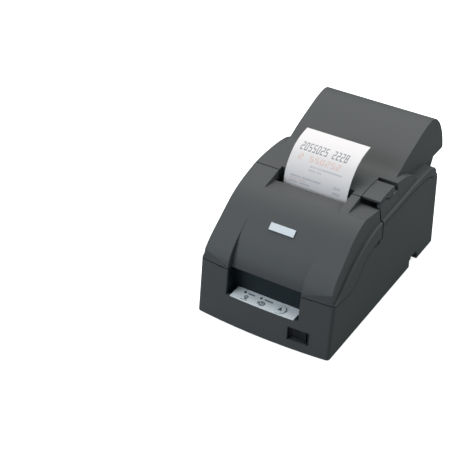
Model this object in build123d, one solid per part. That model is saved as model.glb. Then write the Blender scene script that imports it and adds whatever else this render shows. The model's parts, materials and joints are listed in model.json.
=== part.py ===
from build123d import *
import math
import os

# Impact receipt printer with a tall rear hood over the journal take-up spool.
# Millimetres, +Z up. X runs across the printer, Y from the front (-) to the rear (+).
# The origin lies on the counter, under the middle of the whole printer.
# Side outlines are written as (station, height): the station is the distance
# behind the foremost line of the front face, the height is above the lower edge
# of the case. place() lifts every finished piece by the height of the feet.

# ---------------------------------------------------------------- driving sizes
OVERALL_DEPTH = 286.0        # front face to the rear of the hood
BODY_WIDTH = 160.0
BODY_DEPTH = 248.0           # front face to the rear wall of the lower case
WALL = 2.5                   # moulded shell thickness
FOOT_HEIGHT = 2.0
PAPER_WIDTH = 76.0
ROLL_RADIUS = 38.0

FRONT_BULGE = 4.5            # how far the middle of the front stands ahead of its corners
FRONT_LEAN = 0.147           # backward lean of the front face, per mm of height
CORNER_RADIUS = 4.0
LEDGE_WIDTH = 3.0            # step beside the crown
LEDGE_BEVEL = 1.2            # bevel along the outer edge of that step
CROWN_HALF_WIDTH = BODY_WIDTH / 2 - LEDGE_WIDTH
CROWN_TAPER = 7.5            # degrees that the crown's side walls lean inwards
HOOD_HALF_WIDTH = BODY_WIDTH / 2 - 13.0

SEAM_STATION = 115.0         # where the front cover meets the roll cover
SEAM_GAP = 1.2
COVER_GAP = 1.0              # gap between the front cover and the lower case
REACH = 300.0                # length of a cut that runs past every surface

# ---------------------------------------------------------------- side outlines
CROWN_CURVE = [
    (9.0, 60.0), (10.9, 66.0), (13.6, 73.0), (18.6, 80.5), (25.5, 87.7), (34.5, 94.6),
    (45.0, 102.3), (54.0, 109.2), (63.0, 115.4), (78.0, 122.4), (100.0, 127.6),
    (124.0, 131.0), (147.0, 131.0), (166.0, 129.2), (178.0, 126.6), (188.0, 122.4),
    (196.5, 117.0), (203.5, 109.0), (206.0, 100.0),
]
LEDGE_CURVE = [
    (10.0, 62.5), (24.0, 70.0), (37.0, 79.3), (51.0, 88.4), (67.0, 96.6), (84.0, 103.4),
    (99.0, 106.8), (115.0, 108.4), (144.0, 109.4), (167.0, 110.2), (190.0, 111.2),
    (212.0, 111.0), (226.0, 110.0), (BODY_DEPTH - 13.0, 107.6), (BODY_DEPTH - 7.0, 104.0),
    (BODY_DEPTH - 3.0, 99.0), (BODY_DEPTH + 0.2, 91.5), (BODY_DEPTH + 3.0, 82.0),
]
HOOD_CURVE = [
    (150.0, 129.0), (160.0, 129.1), (168.0, 129.8), (177.0, 132.6), (187.0, 137.2), (197.5, 141.4),
    (209.0, 145.3), (220.5, 149.2), (232.0, 152.7), (243.0, 155.0), (250.0, 155.5), (257.5, 154.0),
    (OVERALL_DEPTH - 20.0, 148.0), (OVERALL_DEPTH - 12.0, 138.6), (OVERALL_DEPTH - 5.5, 126.0),
    (OVERALL_DEPTH - 1.6, 114.0), (OVERALL_DEPTH, 103.0),
]
SCALLOP_CURVE = [            # set-back zone of the front cover, running out into the crown
    (16.2, 55.0), (17.2, 64.5), (20.6, 74.6), (25.2, 82.2), (29.4, 88.0), (34.0, 93.0), (40.0, 98.1),
    (47.0, 103.6), (52.5, 108.2), (58.0, 112.8),
]
SKIRT_SEAM = [               # top edge of the lower case along the front cover
    (-5.0, 63.4), (14.0, 63.4), (22.0, 61.6), (34.0, 60.2), (46.0, 59.6), (53.5, 61.0),
    (62.0, 66.4), (72.0, 76.0), (82.0, 82.4), (90.0, 84.8), (98.0, 87.4),
]
REAR_SEAM = [                # top edge of the lower case along the roll cover
    (115.0, 101.5), (165.0, 102.6), (182.0, 103.0), (201.0, 102.0), (222.0, 99.6),
    (230.0, 97.4), (234.5, 93.9), (260.0, 93.9),
]


def y_at(station):
    return station - OVERALL_DEPTH / 2


def side(points):
    return [(y_at(station), height) for station, height in points]


def inset(points, distance):
    """Shift an open (station, height) curve to its lower right by a wall thickness."""
    moved = []
    for index, (station, height) in enumerate(points):
        before = points[max(index - 1, 0)]
        after = points[min(index + 1, len(points) - 1)]
        run = after[0] - before[0]
        rise = after[1] - before[1]
        length = math.hypot(run, rise)
        moved.append((station + rise / length * distance, height - run / length * distance))
    return moved


def smooth_face(curve, closing):
    """Face on the YZ plane under a spline, closed by straight lines."""
    top = Plane.YZ * Spline(*side(curve))
    rest = Plane.YZ * Polyline(*side([curve[-1]] + closing + [curve[0]]))
    return make_face([*top.edges(), *rest.edges()])


def straight_face(points):
    return make_face(Plane.YZ * Polyline(*side(points), close=True))


def across(face, low_x, high_x):
    """Extrude a side face from one x to another."""
    return Pos(low_x, 0, 0) * extrude(face, amount=high_x - low_x, dir=(1, 0, 0))


def plan_face(half_width, margin, corner, height):
    """Plan outline at one height: bowed front, rounded front corners, straight rear."""
    front = y_at(FRONT_LEAN * height) + margin
    rear = y_at(BODY_DEPTH) - margin
    bow = ThreePointArc((-half_width, front + FRONT_BULGE), (0, front), (half_width, front + FRONT_BULGE))
    rest = Polyline((half_width, front + FRONT_BULGE), (half_width, rear), (-half_width, rear),
                    (-half_width, front + FRONT_BULGE))
    outline = make_face([*bow.edges(), *rest.edges()])
    front_corners = outline.vertices().sort_by(Axis.Y)[:2]
    return Pos(0, 0, height) * fillet(front_corners, corner)


def leaning_block(half_width, margin, corner, low, high):
    return loft([plan_face(half_width, margin, corner, low), plan_face(half_width, margin, corner, high)],
                ruled=True)


def tapered_prism(half_width, station, height, slope):
    """Long prism along a rising chord, upright below the chord and tapering above it."""
    run = math.cos(math.radians(slope))
    rise = math.sin(math.radians(slope))
    section = Plane(origin=(0, y_at(station), height), x_dir=(1, 0, 0), z_dir=(0, -run, -rise))
    lean = 60.0
    top = half_width - lean * math.tan(math.radians(CROWN_TAPER))
    outline = [(-half_width, -REACH), (half_width, -REACH), (half_width, 0), (top, lean), (-top, lean),
               (-half_width, 0)]
    return extrude(section * make_face(Polyline(*outline, close=True)), amount=REACH, both=True)


CHORD_START = (14.0, 66.0)
CHORD_END = (115.0, 108.6)
CHORD_SLOPE = math.degrees(math.atan2(CHORD_END[1] - CHORD_START[1], CHORD_END[0] - CHORD_START[0]))


def side_under(curve):
    """Side face below a curve, open towards the front, the rear and the bottom."""
    border = [(REACH, curve[-1][1]), (REACH, -REACH), (-REACH, -REACH), (-REACH, curve[0][1])]
    return smooth_face(curve, border)


def wide_volume(margin):
    """The full-width lower body up to the side ledges, shrunk by a margin."""
    half = BODY_WIDTH / 2 - margin
    under = [side_under(inset(LEDGE_CURVE, margin + drop)) for drop in (0, LEDGE_BEVEL)]
    bevel = loft([Pos(half - LEDGE_BEVEL, 0, 0) * under[0], Pos(half, 0, 0) * under[1]], ruled=True)
    middle = across(under[0], LEDGE_BEVEL - half, half - LEDGE_BEVEL)
    upper = middle + bevel + mirror(bevel, about=Plane.YZ)
    return leaning_block(half, margin, CORNER_RADIUS, margin, 140.0) & upper


def crown_volume(margin):
    """The raised, rounded middle of both covers, shrunk by a margin."""
    curve = inset(CROWN_CURVE, margin)
    under = smooth_face(curve, [(curve[-1][0], 50.0), (curve[0][0], 50.0)])
    body = across(under, -BODY_WIDTH, BODY_WIDTH)
    bow = leaning_block(BODY_WIDTH / 2 - margin, margin, CORNER_RADIUS, 40.0, 140.0)
    front_half = body & tapered_prism(CROWN_HALF_WIDTH - margin, *CHORD_START, CHORD_SLOPE) & bow
    front_half &= block((-REACH, -REACH, 0), (REACH, SEAM_STATION, REACH))
    rear_half = body & tapered_prism(CROWN_HALF_WIDTH - margin, *CHORD_END, 0.0)
    rear_half &= block((-REACH, SEAM_STATION, 0), (REACH, REACH, REACH))
    return front_half + rear_half


def hood_volume(margin):
    curve = inset(HOOD_CURVE, margin)
    under = smooth_face(curve, [(curve[-1][0], HOOD_EDGE), (curve[0][0], HOOD_EDGE)])
    return across(under, margin - HOOD_HALF_WIDTH, HOOD_HALF_WIDTH - margin)


# ---------------------------------------------------------------- more driving sizes
EXIT_LEFT = -PAPER_WIDTH / 2 - 7.0      # paper exit and front scallop, left and right edges
EXIT_RIGHT = PAPER_WIDTH / 2 + 4.5
EXIT_REAR = 120.5            # rear edge of the paper exit, in the roll cover
LIP_STATION = 105.6          # front lip of the paper exit
LIP_HEIGHT = 121.8
LIP_START = 84.0
LIP_RAMP_TOP = 124.2         # where the ramp leaves the crown

PANEL_FLOOR = 34.0           # shelf that carries the button panel
PANEL_REAR = 24.5

SWITCH_X = (BODY_WIDTH / 2 - 48.5, BODY_WIDTH / 2 - 23.5)      # recess of the power switch
SWITCH_Z = (9.5, 25.0)
SWITCH_DEPTH = 9.0

BAY_FRONT = BODY_DEPTH - 62.0          # connector bay under the rear of the case
BAY_HEIGHT = 30.0
BAY_HALF_WIDTH = BODY_WIDTH / 2 - 10.0
NOTCH_STATIONS = (BAY_FRONT + 4.0, BAY_FRONT + 23.0)
NOTCH_HEIGHT = 12.0
NOTCH_CORNER = 3.0
GRIP_DEPTH = 1.6

COVER_PIVOT = (13.3, 66.2)   # front cover hinge
COVER_PIN_RADIUS = 0.7
COVER_EAR_RADIUS = 1.5
COVER_EAR_OFFSET = 1.2       # keeps a thin wall of the cover in front of the ear
COVER_EAR_WIDTH = 2.6
COVER_EAR_LENGTH = 7.0
COVER_EAR_FOOT = 55.0
COVER_RELIEF = 3.7           # room in the lower case for the cover's turning edge
COVER_PIN_LENGTH = 6.5

ROLL_PIVOT = (BODY_DEPTH - 9.0, 98.6)  # roll cover hinge, just inside the rear wall
ROLL_PIN_RADIUS = 2.5
ROLL_EAR_X = (BODY_WIDTH / 2 - 7.5, BODY_WIDTH / 2 - 3.1)
ROLL_EAR_RADIUS = 3.5
NUB_RADIUS = 4.0             # end of the cover around its hinge pin
HOOD_EDGE = 102.5            # lower edge of the hood's side and rear walls
REAR_WALL_TOP = 88.0

RUNNING_GAP = 0.05           # radial clearance of a pin in its bore
MOVING_GAP = 0.4             # clearance between pieces that pass each other

PINCH_ARM_X = PAPER_WIDTH / 2 + 6.0
PINCH_ARM_WIDTH = 2.5
HOOK_X = PINCH_ARM_X + PINCH_ARM_WIDTH + 0.5
HOOK_WIDTH = 2.5

POCKET_LEFT = HOOK_X + HOOK_WIDTH + WALL + 0.5      # well of the opening lever
POCKET_FLOOR = 114.0
SCOOP_END = 119.4            # low end of the finger scoop
POCKET_REAR = 156.0
LEVER_STATIONS = (116.0, 149.0)
LEVER_UNDERSIDE = 123.2
LEVER_LIP = 127.7            # underside of the finger lip
LEVER_PIVOT = (140.0, 125.2)
LOCK_SHAFT_RADIUS = 2.0
LOCK_SHAFT_END = CROWN_HALF_WIDTH - 7.0
HOOK_TIP = (145.2, 97.0)
CATCH_RADIUS = 2.5

ROLL_CENTRE = (188.0, 76.3)
CORE_OUTER = 9.0
CORE_INNER = 6.2
BUCKET_CENTRE = (188.0, 80.0)
BUCKET_RADIUS = 42.5
BUCKET_WALL = 2.0
BUCKET_HALF_WIDTH = PAPER_WIDTH / 2 + 3.0
BUCKET_EXIT_ANGLE = 262.0    # where the bucket's floor turns into the ramp
RAMP_END = (126.0, 45.0)

SPOOL_CENTRE = (OVERALL_DEPTH - 38.0, 119.0)     # inside the hood
SPOOL_RADIUS = 19.0
SPOOL_CORE_RADIUS = 9.0
SPOOL_AXLE_RADIUS = 3.0
SPOOL_HALF_WIDTH = PAPER_WIDTH / 2
SPOOL_BRACKET_X = SPOOL_HALF_WIDTH + 6.0
SPOOL_FOOT = (BAY_FRONT + 36.0, BAY_FRONT + 58.0)     # stations of the brackets' feet on the bay's roof
TRAY_HALF_WIDTH = HOOD_HALF_WIDTH - WALL - 1.0

PATH_STATION = 112.0         # front face of the paper between the rollers
PAPER_THICKNESS = 0.2
PAPER_GAP = 0.4              # play between the paper and what guides it
PAPER_BEND = 14.0
BEND_RADIUS = PAPER_BEND + PAPER_GAP
CUT_HEIGHT = 110.3           # top edge of the uncut paper
CUT_SLIT = 1.6
TAB_X = 0.0
TAB_WIDTH = 1.5
RECEIPT_CURVE = [            # front face of the receipt, curling back over the roll cover
    (PATH_STATION, CUT_HEIGHT + CUT_SLIT), (112.1, 121.0), (114.0, 129.0), (117.8, 136.5), (123.3, 143.5),
    (129.5, 149.4), (136.9, 154.1), (146.5, 157.6), (161.0, 160.0),
]

FRAME_X = BODY_WIDTH / 2 - 18.0      # outer faces of the chassis side plates
FRAME_PLATE = 1.5
FRAME_INNER = FRAME_X - FRAME_PLATE
FRAME_FLOOR = 20.0
FRAME_STATIONS = (32.0, 126.0)
FRAME_POSTS = (44.0, 112.0)
FRAME_POST_X = FRAME_X - 12.0
CATCH_STATION = HOOK_TIP[0] + 0.3 + CATCH_RADIUS
SCREW_RADIUS = 1.6
SCREW_HEAD_RADIUS = 3.2

BOARD_HEIGHT = 5.0
BOARD_THICKNESS = 1.6
BOARD_STATIONS = (130.0, BAY_FRONT - 4.0)
BOARD_HALF_WIDTH = BODY_WIDTH / 2 - 12.0
BOARD_INSET = 4.0            # from the board's edges to its screws

GEAR_MODULE = 0.8
GEAR_WIDTH = 4.0
TOOTH_FORM = ((-0.30, -1.15), (-0.15, 0.85), (0.15, 0.85), (0.30, -1.15))
ROLLER_TEETH = 24
IDLER_TEETH = 43
PINION_TEETH = 12
IDLER_ANGLE = -118.0         # from the feed roller to the idler gear, in the side view
PINION_ANGLE = -101.0        # from the idler gear to the feed motor

FEED_ROLLER_RADIUS = 6.0
FEED_SHAFT = 2.5
FEED_HEIGHT = 96.0
FEED_CENTRE = (PATH_STATION - 0.3 - FEED_ROLLER_RADIUS, FEED_HEIGHT)
PINCH_RADIUS = 5.0
PINCH_SHAFT = 2.0
PINCH_STATION = PATH_STATION + PAPER_THICKNESS + 0.3 + PINCH_RADIUS
CUTTER_HALF_WIDTH = PAPER_WIDTH / 2 + 6.0
BLADE_TOP = CUT_HEIGHT - 0.1
IDLER_PIN = 2.0
PINION_BORE = 1.5

GUIDE = (62.0, 70.0)         # shaft that carries the print carriage
GUIDE_RADIUS = 4.0
CARRIAGE_HOME = -32.0
HEAD_TIP = 110.5
BELT_STATION = 42.0
BELT_HEIGHT = 74.0
BELT_THICKNESS = 1.0
PULLEY_RADIUS = 5.0
PULLEY_X = FRAME_X - 14.0
RIBBON_STATION = 110.9
CASSETTE_HALF_WIDTH = FRAME_X - 6.0
KNOB = (-40.0, 70.0)
KNOB_RADIUS = 8.0

BUTTON_X = 17.5
BUTTON_STATION = 13.0
BUTTON_RADIUS = 6.2
BUTTON_FLANGE = 8.4          # reach of the wings that hold the key under the shelf
BUTTON_STEM = 3.0
BUTTON_TRAVEL = 1.0
LABEL_X = (EXIT_LEFT + 5.0, EXIT_RIGHT - 5.5)
LABEL_THICKNESS = 0.8
PANEL_BOARD_DROP = 11.0      # from the shelf down to the small board under it
LED_STATION = 19.0
LED_X = (-28.7, -9.0)
LED_RADIUS = 1.3
EMBLEM_X = (-17.3, 12.1)
EMBLEM_START = (46.6, 103.8)
EMBLEM_END = (53.0, 108.9)

ROCKER = ((SWITCH_X[0] + SWITCH_X[1]) / 2, 9.5)      # (x, station) of the rocker's upright pivot
ROCKER_Z = (11.6, 22.9)
ROCKER_TILT = 6.0
SWITCH_BODY_X = (SWITCH_X[0] + 1.4, SWITCH_X[1] - 1.4)
SWITCH_BODY_Z = (10.4, 24.1)
CONNECTOR_HEIGHT = 16.5
GROUND_SCREW_X = -5.0
CONNECTOR_OPENINGS = ((-45.0, (17.0, 17.0)), (-20.0, (16.0, 14.0)), (26.0, (50.0, 12.0)))


# ---------------------------------------------------------------- helpers
def place(name, piece):
    """Write one finished piece, lifted onto its feet."""
    export_step(Pos(0, 0, FOOT_HEIGHT) * piece, f"parts/{name}.step")


def block(low, high):
    """Box between two corners given as (x, station, height)."""
    size = [high[axis] - low[axis] for axis in range(3)]
    centre = [(high[axis] + low[axis]) / 2 for axis in range(3)]
    return Pos(centre[0], y_at(centre[1]), centre[2]) * Box(*size)


def rod(low_x, high_x, centre, radius):
    """Round bar along X through a (station, height) point."""
    middle = Pos((low_x + high_x) / 2, y_at(centre[0]), centre[1])
    return middle * Rot(0, 90, 0) * Cylinder(radius, high_x - low_x)


def tube(low_x, high_x, centre, outer_radius, inner_radius):
    return rod(low_x, high_x, centre, outer_radius) - rod(low_x - 1, high_x + 1, centre, inner_radius)


def post(x, station, low, high, radius):
    """Upright round bar."""
    return Pos(x, y_at(station), (low + high) / 2) * Cylinder(radius, high - low)


def stub(x, low, high, height, radius):
    """Round bar along Y between two stations."""
    return Pos(x, y_at((low + high) / 2), height) * Rot(90, 0, 0) * Cylinder(radius, high - low)


def polar(centre, angle, radius):
    turn = math.radians(angle)
    return (centre[0] + radius * math.cos(turn), centre[1] + radius * math.sin(turn))


def plate(points, low_x, high_x):
    return across(straight_face(points), low_x, high_x)


def both_sides(piece):
    return piece + mirror(piece, about=Plane.YZ)


def gear(low_x, high_x, centre, teeth, bore_radius, turn):
    """Spur gear along X with straight-sided teeth, one of them at the angle turn."""
    pitch_radius = teeth * GEAR_MODULE / 2
    outline = []
    for tooth in range(teeth):
        for share, offset in TOOTH_FORM:
            angle = turn + (tooth + share) * 360 / teeth
            outline.append(polar(centre, angle, pitch_radius + offset * GEAR_MODULE))
    return plate(outline, low_x, high_x) - rod(low_x - 1, high_x + 1, centre, bore_radius)


def meshed_turn(direction, driver_turn, driver_teeth, teeth):
    """Turn of a gear whose teeth sit in the gaps of its driver along a direction."""
    driver_share = ((direction - driver_turn) * driver_teeth / 360) % 1
    return direction + 180 - (0.5 - driver_share) * 360 / teeth


IDLER_CENTRE = polar(FEED_CENTRE, IDLER_ANGLE, (ROLLER_TEETH + IDLER_TEETH) * GEAR_MODULE / 2)
PINION_CENTRE = polar(IDLER_CENTRE, PINION_ANGLE, (IDLER_TEETH + PINION_TEETH) * GEAR_MODULE / 2)


# ---------------------------------------------------------------- casings
def front_scallop(margin):
    """Set-back zone of the front cover above the button panel."""
    curve = inset(SCALLOP_CURVE, margin)
    ahead = smooth_face(curve, [(curve[-1][0], REACH), (-REACH, REACH), (-REACH, curve[0][1])])
    return across(ahead, EXIT_LEFT - margin, EXIT_RIGHT + margin)


def exit_dip(margin):
    """Air above the ramp that falls to the lip of the paper exit."""
    outline = [(LIP_START - 3 - margin, REACH), (LIP_START - margin, LIP_RAMP_TOP - margin),
               (LIP_STATION, LIP_HEIGHT - margin), (EXIT_REAR + margin, LIP_HEIGHT - margin),
               (EXIT_REAR + margin, REACH)]
    return plate(outline, EXIT_LEFT - margin, EXIT_RIGHT + margin)


def lever_scoop(margin):
    """Finger scoop in the front cover, ahead of the opening lever."""
    outline = [(80, REACH), (86.5 - margin, 125.2 - margin), (SEAM_STATION, SCOOP_END - margin),
               (SEAM_STATION, REACH)]
    return plate(outline, POCKET_LEFT - margin, REACH)


def lever_pocket(margin):
    """Well in the roll cover that the opening lever rocks in."""
    return block((POCKET_LEFT - margin, SEAM_STATION - 1, POCKET_FLOOR - margin),
                 (REACH, POCKET_REAR + margin, REACH))


def panel_recess(margin):
    return block((EXIT_LEFT - margin, -10, PANEL_FLOOR - margin),
                 (EXIT_RIGHT + margin, PANEL_REAR + margin, SKIRT_SEAM[0][1] + 0.5 + margin))


def switch_recess(margin):
    return block((SWITCH_X[0] - margin, -10, SWITCH_Z[0] - margin),
                 (SWITCH_X[1] + margin, SWITCH_DEPTH + margin, SWITCH_Z[1] + margin))


def connector_bay(margin):
    return block((-BAY_HALF_WIDTH - margin, BAY_FRONT - margin, -10),
                 (BAY_HALF_WIDTH + margin, BODY_DEPTH + 10, BAY_HEIGHT + margin))


def cable_notches(margin):
    low = block((-100, NOTCH_STATIONS[0] - margin, -10),
                (100, NOTCH_STATIONS[1] + margin, NOTCH_HEIGHT - NOTCH_CORNER + margin))
    high = block((-100, NOTCH_STATIONS[0] - margin + NOTCH_CORNER, -10),
                 (100, NOTCH_STATIONS[1] + margin - NOTCH_CORNER, NOTCH_HEIGHT + margin))
    return low + high


def finger_grips(margin):
    """Shallow scoops in the case's sides, under the rear ends of the front cover's skirts."""
    outline = [(97 - margin, 95), (97 - margin, 88.5), (98.5 - margin, 84.5 - margin),
               (108 + margin, 84.5 - margin), (111 + margin, 88.5), (111 + margin, 95)]
    inner = BODY_WIDTH / 2 - GRIP_DEPTH
    return both_sides(plate(outline, inner - margin, REACH))


POCKETS = [front_scallop, exit_dip, lever_scoop, lever_pocket, panel_recess, switch_recess, connector_bay,
           cable_notches]


def make_shell():
    outer = wide_volume(0) + crown_volume(0) + hood_volume(0)
    inner = wide_volume(WALL) + crown_volume(WALL) + hood_volume(WALL)
    for pocket in POCKETS:
        outer -= pocket(0)
        inner -= pocket(WALL)
    exit_hole = block((EXIT_LEFT, LIP_STATION, 60), (EXIT_RIGHT, EXIT_REAR, 200))
    return outer - inner - exit_hole


def lower_region():
    outline = SKIRT_SEAM + [(SEAM_STATION, SKIRT_SEAM[-1][1])] + REAR_SEAM
    return plate(outline + [(REAR_SEAM[-1][0], -REACH), (SKIRT_SEAM[0][0], -REACH)], -REACH, REACH)


def front_region():
    edge = SEAM_STATION - SEAM_GAP
    lower = [(station, height + COVER_GAP) for station, height in SKIRT_SEAM]
    return plate(lower + [(edge, lower[-1][1]), (edge, REACH), (lower[0][0], REACH)], -REACH, REACH)


def roll_region():
    start = ROLL_PIVOT[0] - NUB_RADIUS
    lower = [(station, height + SEAM_GAP) for station, height in REAR_SEAM if station < start]
    nub_bottom = ROLL_PIVOT[1] - NUB_RADIUS
    end = ROLL_PIVOT[0] + NUB_RADIUS
    outline = lower + [(start, nub_bottom), (ROLL_PIVOT[0], nub_bottom), ROLL_PIVOT, (end, ROLL_PIVOT[1]),
                       (end, REACH), (SEAM_STATION, REACH)]
    region = plate(outline, -REACH, REACH) + rod(-REACH, REACH, ROLL_PIVOT, NUB_RADIUS)
    region += block((-HOOD_HALF_WIDTH, ROLL_PIVOT[0] - 1, HOOD_EDGE), (HOOD_HALF_WIDTH, REACH, REACH))
    well = HOOD_HALF_WIDTH - WALL
    return region - block((-well, ROLL_PIVOT[0] - 9, REAR_WALL_TOP), (well, BODY_DEPTH + 1, HOOD_EDGE + 8))


def cover_ear(sign, margin):
    """Arm of the lower case that reaches forward to one hinge pin of the front cover."""
    inner_x = EXIT_RIGHT if sign > 0 else EXIT_LEFT
    low_x, high_x = sorted((inner_x + sign * (COVER_EAR_OFFSET - margin),
                            inner_x + sign * (COVER_EAR_OFFSET + COVER_EAR_WIDTH + margin)))
    station, height = COVER_PIVOT
    reach = COVER_EAR_RADIUS + margin
    back = station + COVER_EAR_LENGTH + margin
    ear = rod(low_x, high_x, COVER_PIVOT, reach)
    ear += block((low_x, station, height - reach), (high_x, back, height + reach))
    return ear + block((low_x, back - 3, COVER_EAR_FOOT), (high_x, back, height))


def ear_notch(sign):
    """Room in the front cover for one ear, open downwards so that the cover can turn."""
    inner_x = EXIT_RIGHT if sign > 0 else EXIT_LEFT
    low_x, high_x = sorted((inner_x + sign * (COVER_EAR_OFFSET - MOVING_GAP),
                            inner_x + sign * (COVER_EAR_OFFSET + COVER_EAR_WIDTH + MOVING_GAP)))
    reach = COVER_EAR_RADIUS + MOVING_GAP
    below = block((low_x, COVER_PIVOT[0] - reach, COVER_EAR_FOOT),
                  (high_x, COVER_PIVOT[0] + COVER_EAR_LENGTH + MOVING_GAP, COVER_PIVOT[1]))
    return cover_ear(sign, MOVING_GAP) + below


def cover_pin(sign, margin):
    inner_x = EXIT_RIGHT if sign > 0 else EXIT_LEFT
    low_x, high_x = sorted((inner_x + sign * (COVER_EAR_OFFSET - 0.3), inner_x + sign * COVER_PIN_LENGTH))
    return rod(low_x, high_x, COVER_PIVOT, COVER_PIN_RADIUS + margin)


def make_front_cover(shell):
    cover = shell & front_region()
    for sign in (-1, 1):
        inner_x = EXIT_RIGHT if sign > 0 else EXIT_LEFT
        ear_end = COVER_EAR_OFFSET + COVER_EAR_WIDTH + MOVING_GAP
        low_x, high_x = sorted((inner_x + sign * ear_end, inner_x + sign * 12))
        cover += block((low_x, COVER_PIVOT[0], COVER_PIVOT[1] - 1.5),
                       (high_x, COVER_PIVOT[0] + 3, COVER_PIVOT[1] + 3.6))
        cover -= ear_notch(sign) + cover_pin(sign, 0)
    return cover


def make_lower_case(shell):
    case = shell & lower_region()
    gate = HOOD_HALF_WIDTH + 2.5
    rear_gate = block((-gate, BODY_DEPTH - 12, REAR_WALL_TOP), (gate, REACH, REACH))
    case -= rear_gate
    case += finger_grips(WALL) & (wide_volume(0) & lower_region())
    case -= finger_grips(0)
    case -= rod(EXIT_LEFT - 12, EXIT_RIGHT + 12, COVER_PIVOT, COVER_RELIEF)
    for sign in (-1, 1):
        case += cover_ear(sign, 0)
        case -= cover_pin(sign, RUNNING_GAP)
    ear = rod(ROLL_EAR_X[0], ROLL_EAR_X[1], ROLL_PIVOT, ROLL_EAR_RADIUS)
    ear_foot = ROLL_PIVOT[1] - 20
    ear += block((ROLL_EAR_X[0], ROLL_PIVOT[0] - ROLL_EAR_RADIUS, ear_foot),
                 (ROLL_EAR_X[1], ROLL_PIVOT[0] + 1.5, ROLL_PIVOT[1]))
    ear -= rod(0, REACH, ROLL_PIVOT, ROLL_PIN_RADIUS + RUNNING_GAP)
    foot = block((ROLL_EAR_X[0], ROLL_PIVOT[0] - ROLL_EAR_RADIUS, ear_foot),
                 (BODY_WIDTH / 2 - WALL + 0.5, BODY_DEPTH - WALL + 0.5, ear_foot + 7))
    case += both_sides(ear + foot)
    for x, station in frame_posts():
        case += block((x - 4, station - 4, WALL - 0.5), (x + 4, station + 4, FRAME_FLOOR))
    slot = block((SWITCH_BODY_X[0], SWITCH_DEPTH - 1, SWITCH_BODY_Z[0]),
                 (SWITCH_BODY_X[1], SWITCH_DEPTH + WALL + 1, SWITCH_BODY_Z[1]))
    case -= slot
    case -= post(BUTTON_X, BUTTON_STATION, PANEL_FLOOR - WALL - 2.5, PANEL_FLOOR + 1,
                 BUTTON_RADIUS + MOVING_GAP)
    for x in LED_X:
        case -= post(x, LED_STATION, PANEL_FLOOR - WALL - 1, PANEL_FLOOR + 1, LED_RADIUS)
    for x, opening in CONNECTOR_OPENINGS:
        case -= opening_box(x, opening)
    case -= stub(GROUND_SCREW_X, BAY_FRONT - WALL - 1, BAY_FRONT + 1, CONNECTOR_HEIGHT, 2.6)
    for x, station in frame_posts():
        case -= post(x, station, -1, WALL - 0.1, SCREW_HEAD_RADIUS + 0.3)
        case -= post(x, station, 0, FRAME_FLOOR + 1, SCREW_RADIUS)
    for x, station in board_posts():
        case += post(x, station, WALL - 0.5, BOARD_HEIGHT, 3)
    return case


def frame_posts():
    return [(x, station) for x in (-FRAME_POST_X, FRAME_POST_X) for station in FRAME_POSTS]


def board_posts():
    x = BOARD_HALF_WIDTH - BOARD_INSET
    return [(-x, BOARD_STATIONS[0] + BOARD_INSET), (-x, BOARD_STATIONS[1] - BOARD_INSET),
            (x, BOARD_STATIONS[0] + BOARD_INSET), (x, BOARD_STATIONS[1] - BOARD_INSET)]


def opening_box(x, opening):
    return block((x - opening[0] / 2, BAY_FRONT - WALL - 1, CONNECTOR_HEIGHT - opening[1] / 2),
                 (x + opening[0] / 2, BAY_FRONT + 1, CONNECTOR_HEIGHT + opening[1] / 2))


def make_roll_cover(shell):
    cover = shell & roll_region()
    cover -= both_sides(rod(ROLL_EAR_X[0] - MOVING_GAP, ROLL_EAR_X[1] + 0.3, ROLL_PIVOT, NUB_RADIUS))
    cover -= both_sides(rod(ROLL_EAR_X[0], BODY_WIDTH / 2 - 1, ROLL_PIVOT, ROLL_PIN_RADIUS))
    arm = plate([(121.5, 129), (136, 129), (122.5, FEED_HEIGHT - 4), (PINCH_STATION - 3, FEED_HEIGHT - 4),
                 (PINCH_STATION - 3, 103.5), (PINCH_STATION - 3, 109), (121.5, 112)],
                PINCH_ARM_X, PINCH_ARM_X + PINCH_ARM_WIDTH)
    blade_bar = block((-PINCH_ARM_X, PINCH_STATION - 3, 103.5), (PINCH_ARM_X, 121, BLADE_TOP - 1))
    hanger_x = -HOOK_X - HOOK_WIDTH - 0.5
    hanger = block((hanger_x - 3, LEVER_PIVOT[0] - 5, LEVER_PIVOT[1] - 5),
                   (hanger_x, LEVER_PIVOT[0] + 5, LEVER_PIVOT[1] + 4))
    cover += both_sides(arm)
    cover += blade_bar
    cover += hanger
    cover -= both_sides(rod(PINCH_ARM_X - 1, PINCH_ARM_X + 4, (PINCH_STATION, FEED_HEIGHT),
                            PINCH_SHAFT + RUNNING_GAP))
    cover -= rod(hanger_x - 4, POCKET_LEFT + 1, LEVER_PIVOT, LOCK_SHAFT_RADIUS + RUNNING_GAP)
    return cover


# ---------------------------------------------------------------- cover hardware
def make_lever():
    front, rear = LEVER_STATIONS
    outline = [(front, LEVER_LIP), (front + 13, LEVER_LIP - 0.6), (LEVER_PIVOT[0] - 4, LEVER_UNDERSIDE),
               (LEVER_PIVOT[0] + 1, LEVER_UNDERSIDE), (rear, LEVER_UNDERSIDE + 3.6), (rear, REACH),
               (front, REACH)]
    body = crown_volume(0) & plate(outline, POCKET_LEFT + MOVING_GAP, REACH)
    return body - rod(0, LOCK_SHAFT_END, LEVER_PIVOT, LOCK_SHAFT_RADIUS)


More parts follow.
